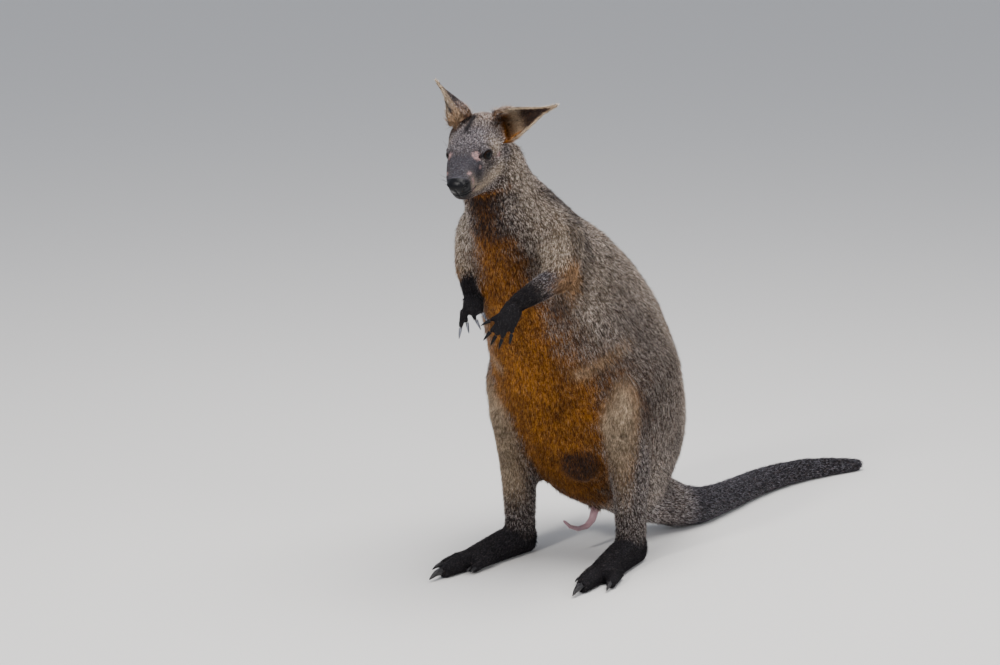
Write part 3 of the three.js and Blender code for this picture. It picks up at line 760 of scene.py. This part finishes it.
# The colour of hair, or of the hide below it, from the amounts of each marking. Along is the place on
# the hair from root to tip, Each and Lock are the hair's own number and that of its lock.
hair_colour = bpy.data.node_groups.new("hair_colour", "ShaderNodeTree")
tree = hair_colour
for name in ("Along", "Each", "Lock"):
    tree.interface.new_socket(name, in_out="INPUT", socket_type="NodeSocketFloat").default_value = 0.5
tree.interface.new_socket("Colour", in_out="OUTPUT", socket_type="NodeSocketColor")
given, result = tree.nodes.new("NodeGroupInput"), tree.nodes.new("NodeGroupOutput")
rust_in, pale_in, dark_in = amounts(tree, "marks")[:3]
grey_in, pink_in, tick_in = amounts(tree, "more_marks")[:3]
along, each, lock = given.outputs[:3]
up_hair = stepped(along, 0.05, 0.6)
ticked = plus(times(each, 0.62), times(lock, 0.38))
speckle = times(maths("SUBTRACT", mottle(tree, 430.0, 2.0), 0.5), 2.0)
ticked = stepped(plus(ticked, speckle), 0.42, 0.56)
ticked = times(ticked, stepped(along, 0.42, 0.58))
ticked = times(ticked, stepped(along, 0.98, 0.84))
ticked = times(ticked, plus(times(tick_in, 0.84), 0.16))
colour = None
for kind, amount, show in (
    ("agouti", None, 1.0), ("grey", grey_in, 1.0), ("rust", rust_in, 1.0),
    ("pale", pale_in, 0.9), ("dark", dark_in, 0.8),
):
    low, middle, high = HAIRS[kind]
    one = mixed(up_hair, low, middle)
    one = mixed(times(ticked, show), one, high)
    colour = one if colour is None else mixed(amount, colour, one)
black_hairs = times(stepped(each, 0.24, 0.16), stepped(along, 0.3, 0.6))
colour = mixed(times(black_hairs, 0.75), colour, (0.02, 0.014, 0.012))
clumps = times(stepped(mottle(tree, 75.0, 4.0), 0.58, 0.75), rust_in)
colour = mixed(times(clumps, 0.35), colour, (0.03, 0.015, 0.008))
patches = plus(mottle(tree, 18.0, 4.0), mottle(tree, 130.0, 3.0))
patches = times(maths("SUBTRACT", patches, 1.0), plus(rust_in, 0.5))
shade = plus(times(lock, 0.4), patches)
shade = plus(shade, maths("SUBTRACT", 0.82, times(rust_in, 0.06)))
combined = tree.nodes.new("ShaderNodeCombineColor")
for socket in combined.inputs:
    tree.links.new(shade, socket)
colour = mixed(1.0, colour, combined.outputs[0], "MULTIPLY")
tree.links.new(colour, result.inputs["Colour"])

hide, tree, shader = material("hide", specular=0.17)
marking = tree.nodes.new("ShaderNodeGroup")
marking.node_tree = hair_colour
marking.inputs["Along"].default_value = 0.42
feed(marking.inputs["Each"], mottle(tree, 900.0, 2.0))
feed(marking.inputs["Lock"], mottle(tree, 260.0, 2.0))
_, pink_in, _ = amounts(tree, "more_marks")[:3]
nose_in, bare_in, rim_in = amounts(tree, "leather")[:3]
blotches = mixed(stepped(mottle(tree, 420.0, 3.0), 0.38, 0.6), (0.12, 0.09, 0.1), (0.34, 0.2, 0.185))
colour = mixed(times(pink_in, 0.95), marking.outputs[0], blotches)
colour = mixed(bare_in, colour, mixed(mottle(tree, 60.0, 2.0), (0.5, 0.3, 0.32), (0.38, 0.24, 0.27)))
colour = mixed(rim_in, colour, (0.018, 0.014, 0.014))
pores = mottle(tree, 1500.0, 2.0)
colour = mixed(nose_in, colour, mixed(pores, (0.0015, 0.0015, 0.002), (0.006, 0.006, 0.008)))
feed(shader.inputs["Base Color"], colour)
smooth_parts = maths("MAXIMUM", nose_in, maths("MAXIMUM", bare_in, rim_in))
rough = maths("SUBTRACT", 0.85, times(smooth_parts, 0.52))
feed(shader.inputs["Roughness"], rough)
feed(shader.inputs["Normal"], bumped(pores, strength=0.25, distance=0.0006))
skin.data.materials.clear()
skin.data.materials.append(hide)

# ---- Eyes ------------------------------------------------------------------------------------------
# Round glossy balls, nearly black, each with a low dome of cornea over the dark brown iris.

wet_eye, tree, shader = material("wet_eye", specular=0.14, roughness=0.03)
iris_in, white_in, _ = amounts(tree, "iris")[:3]
rays = mottle(tree, 700.0, 3.0)
brown = mixed(rays, (0.006, 0.003, 0.002), (0.02, 0.01, 0.006))
colour = mixed(iris_in, (0.002, 0.002, 0.0025), brown)
colour = mixed(white_in, colour, (0.03, 0.02, 0.018))
feed(shader.inputs["Base Color"], colour)
shader.inputs["IOR"].default_value = 1.4

for node in EYES:
    side = 1 if node.endswith("left") else -1
    centre, inner, upper, out = lid_ways[side]
    deselect()
    bpy.ops.mesh.primitive_uv_sphere_add(segments=64, ring_count=40, radius=BALL / 1000.0, location=(0, 0, 0))
    ball = bpy.context.object
    ball.name = "eyeball_" + ("left" if side > 0 else "right")
    bpy.ops.object.shade_smooth()
    where = points_of(ball.data) * 1000.0
    turn = np.stack([inner, upper, out], 1)
    cosine = where[:, 2] / BALL
    where[:, 2] += 0.9 * rise(math.cos(math.radians(42)), 1.0, cosine)
    put_points(ball.data, from_head(centre + where @ turn.T))
    if np.linalg.det(turn) < 0:
        choose(ball)
        edit_all(bpy.ops.mesh.flip_normals)
    iris = rise(math.cos(math.radians(36)), math.cos(math.radians(30)), cosine) * fall(0.9, 0.93, cosine)
    white = fall(math.cos(math.radians(58)), math.cos(math.radians(52)), cosine)
    keep(ball.data, "iris", iris, white, iris * 0)
    ball.data.materials.append(wet_eye)
    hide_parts(node)
    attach(ball, "root")

# ---- Claws -----------------------------------------------------------------------------------------
# Curved horn sheaths on fingers and toes, smooth and a little worn: black, with lengthwise streaks that are
# partly grain and partly painted highlight, silver-grey and palest on the right hand.


def horn(name, base, streak, along_x, shine=0.3):
    made, tree, shader = material(name, shine)
    where = tree.nodes.new("ShaderNodeTexCoord").outputs["Object"]
    drawn = node_for("ShaderNodeMapping", {"Vector": where, "Scale": (60, 700, 700) if along_x else (700, 700, 60)})
    grain = node_for("ShaderNodeTexNoise", {"Vector": drawn.outputs[0], "Scale": 1.0, "Detail": 3.0}).outputs[0]
    # The streak colour is the horn's grain, and on the right hand also a painted highlight.
    colour = mixed(stepped(grain, 0.3, 0.7), base, streak)
    feed(shader.inputs["Base Color"], colour)
    worn = plus(times(grain, 0.25), 0.2)
    feed(shader.inputs["Roughness"], worn)
    feed(shader.inputs["Normal"], bumped(grain, strength=0.3, distance=0.0003))
    return made


CLAWS = {
    "finger_claws_left": horn("horn_left_hand", (0.006, 0.006, 0.007), (0.016, 0.016, 0.019), False, 0.08),
    # the pale silver-grey streak here is a painted highlight on black horn
    "finger_claws_right": horn("horn_right_hand", (0.015, 0.015, 0.018), (0.24, 0.25, 0.29), False),
    "toe_claws_left": horn("horn_left_foot", (0.008, 0.008, 0.009), (0.045, 0.043, 0.045), True, 0.18),
    "toe_claws_right": horn("horn_right_foot", (0.008, 0.008, 0.009), (0.045, 0.043, 0.045), True, 0.18),
}
ON_TOES = ("claw_fourth", "claw_fifth", "claw_inner")
for name, sheath in CLAWS.items():
    nodes = [n for n in HORNS if n.endswith(name[-4:]) and n.startswith(ON_TOES) == name.startswith("toe")]
    copies = []
    for node in nodes:
        copy = swollen(node, swell=0.0003)
        round_off = copy.modifiers.new("round", "SUBSURF")
        round_off.levels = round_off.render_levels = 2
        bpy.ops.object.modifier_apply(modifier="round")
        bpy.ops.object.shade_smooth()
        copies.append(copy)
    choose(*copies)
    bpy.ops.object.join()
    claws = bpy.context.view_layer.objects.active
    claws.name = name
    claws.data.materials.append(sheath)
    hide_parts(*nodes)
    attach(claws, "root")

# ---- The coat --------------------------------------------------------------------------------------
# Every tuft is a thin closed cone of hair, sunk in the hide at its root and lying along the body. They are
# laid in eight layers over the whole animal, and drawn together at the tips in small locks.

dice = np.random.default_rng(7)
hair, width, crowd = of_coat(0, evenly) / 1000.0, of_coat(1, evenly) / 1000.0, of_coat(2, 4)
flow = of_coat(3, 30)
# On the face the hair shortens from the crown to the nose, and parts round the eyes and lips.
short = head * rise(-30, 56, fx)
hair *= 1 - 0.5 * short
width *= 1 - 0.35 * short
crowd *= 1 + 0.5 * short
hair += 0.005 * is_ear * fall(0.1, 0.34, up_ears) + 0.008 * near(mirrored, (-62, 38, 18), (16, 16, 18))
hair += 0.007 * near(face, (-48, -22, 25), (11, 14, 11))
hair += 0.002 * is_ear * rim
flow[:, 2] -= 0.5 * short * rise(0, -20, fz)
opening = np.where(head > 0.3, across, 9.0)
hair *= 0.35 + 0.65 * rise(1.1, 2.2, opening)
crowd *= rise(1.08, 1.16, opening) * fall(0.25, 0.5, nose)
crowd *= (1 - 0.86 * rise(0.3, 0.8, pink)) * fall(0.2, 0.4, bare)
crowd *= fall(0.5, 0.8, lip_black)
crowd[points[:, 2] < 0.0012] = 0.0
hair *= np.clip(0.35 + points[:, 2] / 0.02, 0.35, 1.0)

triangles = read(skin.data.polygons, "vertices", 3, np.int32)
normals = spread(normals_of(skin.data), edges, 2)
normals /= np.linalg.norm(normals, axis=1)[:, None]

# The hide laid out flat, for the place of each tuft's own patch of colour.
choose(skin)
skin.data.uv_layers.new(name="OFBake")
edit_all(bpy.ops.uv.smart_project, angle_limit=math.radians(66), island_margin=0.004)
laid_out = read(skin.data.uv_layers["OFBake"].data, "uv", 2).reshape(-1, 3, 2)

corner = points[triangles]
area = np.linalg.norm(np.cross(corner[:, 1] - corner[:, 0], corner[:, 2] - corner[:, 0]), axis=1) / 2.0
share = np.cumsum(area * 1e4 * crowd[triangles].mean(1))
FULL_COAT = 374_000
count = min(int(share[-1]), FULL_COAT) // 1
chosen = np.searchsorted(share, (np.arange(count) + dice.random(count)) / count * share[-1] * 0.999999)
dice.shuffle(chosen)
a, b = dice.random(count), dice.random(count)
a, b = np.where(a + b > 1, 1 - a, a), np.where(a + b > 1, 1 - b, b)
parts_of_it = np.stack([1 - a - b, a, b], 1)


def at_roots(values):
    values = values[triangles[chosen]]
    weights = parts_of_it if values.ndim == 2 else parts_of_it[:, :, None]
    return (values * weights).sum(1)


def unit(vectors):
    return vectors / np.maximum(np.linalg.norm(vectors, axis=1), 1e-9)[:, None]


roots, up = at_roots(points), unit(at_roots(normals))
lie = at_roots(flow)
lie = unit(lie - up * (lie * up).sum(1)[:, None])
long, wide = at_roots(hair), at_roots(width)
root_marks, root_more = at_roots(marks), at_roots(more_marks)
# Where two colours meet, their hairs mingle.
mingle = 0.04 + 0.92 * dice.random((count, 2))
for column in (0, 2):
    own = root_marks[:, column]
    root_marks[:, column] = own + 0.72 * (rise(-0.26, 0.26, own - mingle[:, column // 2]) - own)
root_uv = (laid_out[chosen] * parts_of_it[:, :, None]).sum(1)
belly = root_marks[:, 0]

# Locks: each tuft belongs to the nearest of many centres, and shares its turn, lift and brightness.
centres = dice.choice(count, count // 4, replace=False)
lock_tree = KDTree(len(centres))
for k, centre in enumerate(roots[centres].tolist()):
    lock_tree.insert(centre, k)
lock_tree.balance()
lock = np.array([lock_tree.find(p)[1] for p in roots.tolist()])
lock_shade = dice.random(len(centres))[lock]
lock_turn = dice.normal(0, 1, len(centres))[lock]
lock_lift = dice.normal(0, 1, len(centres))[lock]
each = dice.random(count)
alone = at_roots(head + 0.5 * np.clip(is_ear, 0, 1))
lock_shade += 0.3 * np.clip(alone, 0, 1) * (dice.random(count) - lock_shade)

sideways = np.cross(up, lie)
turn = lock_turn * (0.10 + 0.14 * belly) + dice.normal(0, 0.13, count)
lie = unit(lie * np.cos(turn)[:, None] + sideways * np.sin(turn)[:, None])
sideways = np.cross(up, lie)
long = long * np.clip(1 + 0.12 * lock_lift + dice.normal(0, 0.16, count), 0.5, 1.5)
wide = wide * dice.uniform(0.7, 1.2, count)
lift = np.clip(0.27 + 0.03 * lock_lift + dice.normal(0, 0.05, count), 0.12, 0.42)
lift += 0.16 * (dice.random(count) < 0.05)
pulled = roots[centres][lock] - roots
pulled -= up * (pulled * up).sum(1)[:, None]
tip = roots + lie * (0.93 * long)[:, None] + up * (lift * long)[:, None] + 0.3 * pulled


def ring(centre, size):
    turns = [k * 2 * math.pi / 3 for k in range(3)]
    return [
        centre + sideways * (size * math.cos(t) * wide)[:, None] + up * (0.56 * size * math.sin(t) * wide)[:, None]
        for t in turns
    ]


tufts = np.stack([*ring(roots + lie * (0.1 * long)[:, None] + up * (0.04 * long)[:, None], 0.5), tip], 1)
tufts[:, :, 2] = np.maximum(tufts[:, :, 2], 0.0003)
CONE = np.array([(0, 2, 1), (3, 0, 1), (3, 1, 2), (3, 2, 0)])
PATCH = np.array([(-1.4, -1.2), (-1.4, 1.2), (-0.6, 0.0), (1.5, 0.0)]) / 1000.0
UP_HAIR = np.array([0.1, 0.1, 0.1, 1.0])
a, b, c = (tufts[:3000][:, CONE[:, k]] - tufts[:3000, :1] for k in range(3))
if np.median((a * np.cross(b, c)).sum((1, 2))) < 0:
    CONE = CONE[:, ::-1]

coat_fur, tree, shader = material("coat_fur", specular=0.1, roughness=0.6)
marking = tree.nodes.new("ShaderNodeGroup")
marking.node_tree = hair_colour
along_in, each_in, lock_in = amounts(tree, "strand")[:3]
for name, value in (("Along", along_in), ("Each", each_in), ("Lock", lock_in)):
    feed(marking.inputs[name], value)
feed(shader.inputs["Base Color"], marking.outputs[0])

LAYERS = 8
for layer in range(LAYERS):
    mine = np.arange(layer, count, LAYERS)
    corners = (CONE[None] + 4 * np.arange(len(mine))[:, None, None]).reshape(-1, 3)
    mesh = bpy.data.meshes.new("coat_%d" % (layer + 1))
    mesh.vertices.add(4 * len(mine))
    mesh.loops.add(corners.size)
    mesh.polygons.add(len(corners))
    mesh.vertices.foreach_set("co", tufts[mine].astype(np.float32).ravel())
    mesh.loops.foreach_set("vertex_index", corners.astype(np.int32).ravel())
    mesh.polygons.foreach_set("loop_start", np.arange(len(corners), dtype=np.int32) * 3)
    mesh.polygons.foreach_set("use_smooth", np.ones(len(corners), bool))
    mesh.update(calc_edges=True)
    flat_uv = root_uv[mine][:, None, None] + PATCH[CONE][None]
    mesh.uv_layers.new(name="OFBake").data.foreach_set("uv", flat_uv.astype(np.float32).ravel())
    keep(mesh, "marks", *np.repeat(root_marks[mine], 4, 0).T)
    keep(mesh, "more_marks", *np.repeat(root_more[mine], 4, 0).T)
    keep(mesh, "strand", np.tile(UP_HAIR, len(mine)), np.repeat(each[mine], 4), np.repeat(lock_shade[mine], 4))
    mesh.materials.append(coat_fur)
    fur = bpy.data.objects.new(mesh.name, mesh)
    bpy.context.scene.collection.objects.link(fur)
    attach(fur, "root")

# ---- Whiskers --------------------------------------------------------------------------------------
# Stiff dark hairs set in the sides of the muzzle, with a few over the eye: each is a thin closed spike
# with its root in the hide, swept back and down.

WHISKERS = (  # place on the head, length in millimetres, how far it droops
    ((50, 16, -9), 34, 9), ((46, 18, -13), 40, 10), ((42, 19, -9), 42, 9), ((47, 17, -18), 32, 10),
    ((41, 19, -17), 38, 12), ((36, 20, -13), 36, 10), ((53, 15, -14), 28, 8),
    ((2, 24, 17), 26, 3), ((7, 22, 17), 24, 2),
)
spikes, faces = [], []
for side in (1, -1):
    for (x, y, z), long_mm, droop in WHISKERS:
        root = np.array([x, side * (y - 1.5), z], float)
        way = np.array([-0.62, side * 0.74, 0.22 if z > 0 else -0.05])
        start = len(spikes)
        for step in np.linspace(0.0, 1.0, 6):
            centre = root + way * long_mm * step + np.array([-6.0 * step**2, 0.0, -droop * step**2])
            size = 0.28 * (1.0 - 0.85 * step)
            for k in range(3):
                turned = 2 * math.pi * k / 3
                spikes.append(centre + size * np.array([math.cos(turned), 0.0, math.sin(turned)]))
        for ring_at in range(start, start + 15, 3):
            for k in range(3):
                faces.append((ring_at + k, ring_at + (k + 1) % 3, ring_at + 3 + (k + 1) % 3, ring_at + 3 + k))
        faces += [(start + 2, start + 1, start), (start + 15, start + 16, start + 17)]
bristle_mesh = bpy.data.meshes.new("whiskers")
bristle_mesh.from_pydata(from_head(np.array(spikes)).tolist(), [], faces)
whiskers = bpy.data.objects.new("whiskers", bristle_mesh)
bpy.context.scene.collection.objects.link(whiskers)
choose(whiskers)
edit_all(bpy.ops.mesh.normals_make_consistent, inside=False)
bpy.ops.object.shade_smooth()
bristle, tree, shader = material("bristle", roughness=0.4)
colour = mixed(mottle(tree, 90.0, 2.0), (0.01, 0.009, 0.009), (0.06, 0.05, 0.045))
feed(shader.inputs["Base Color"], colour)
whiskers.data.materials.append(bristle)
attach(whiskers, "root")

# ---- Studio ------------------------------------------------------------------------------------------
# A plain pale floor and a pale sky, three soft lights and the camera: the large lamp overhead and the
# small one in front give the shadow and the glints, and the one on the left fills in.

bpy.ops.mesh.primitive_plane_add(size=60.0, location=(0, 0, -0.0004))
floor = bpy.context.object
floor.name = "studio_floor"
floor_paint, _, shader = material("studio_floor", roughness=0.9)
shader.inputs["Base Color"].default_value = (0.74, 0.73, 0.71, 1)
floor.data.materials.append(floor_paint)

world = bpy.data.worlds.new("studio")
bpy.context.scene.world = world
world.use_nodes = True
sky = world.node_tree.nodes["Background"]
sky.inputs["Color"].default_value = (0.86, 0.9, 1.0, 1)
sky.inputs["Strength"].default_value = 0.6


def lamp(name, where, size, power, colour):
    bpy.ops.object.light_add(type="AREA", location=where)
    made = bpy.context.object
    made.name = name
    made.data.shape = "DISK"
    made.data.size = size
    made.data.energy = power
    made.data.color = colour
    middle = Vector(place(60, 0, 380))
    made.rotation_euler = (middle - Vector(where)).to_track_quat("-Z", "Y").to_euler()


lamp("overhead", (0.35, 0.5, 3.0), 2.2, 128.0, (1.0, 0.97, 0.94))
lamp("front", (3.2, -0.1, 2.3), 0.4, 60.0, (1.0, 0.97, 0.93))
lamp("side", (0.6, 3.2, 1.5), 1.8, 24.0, (1.0, 0.97, 0.95))

AWAY, SEEN_WIDTH = 5.2, 1.55  # from the camera to the animal, and the width seen there, in metres
eye_point = Vector(STAND) + Vector((4.41279, 2.40991, 1.37618))
bpy.ops.object.camera_add(location=eye_point)
camera = bpy.context.object
camera.data.sensor_width = 36.0
camera.data.lens = camera.data.sensor_width * AWAY / SEEN_WIDTH
azimuth, tilt = math.radians(30.0), math.radians(11.5)
look = Vector((-math.cos(azimuth) * math.cos(tilt), -math.sin(azimuth) * math.cos(tilt), -math.sin(tilt)))
camera.rotation_euler = look.to_track_quat("-Z", "Y").to_euler()
bpy.context.scene.camera = camera
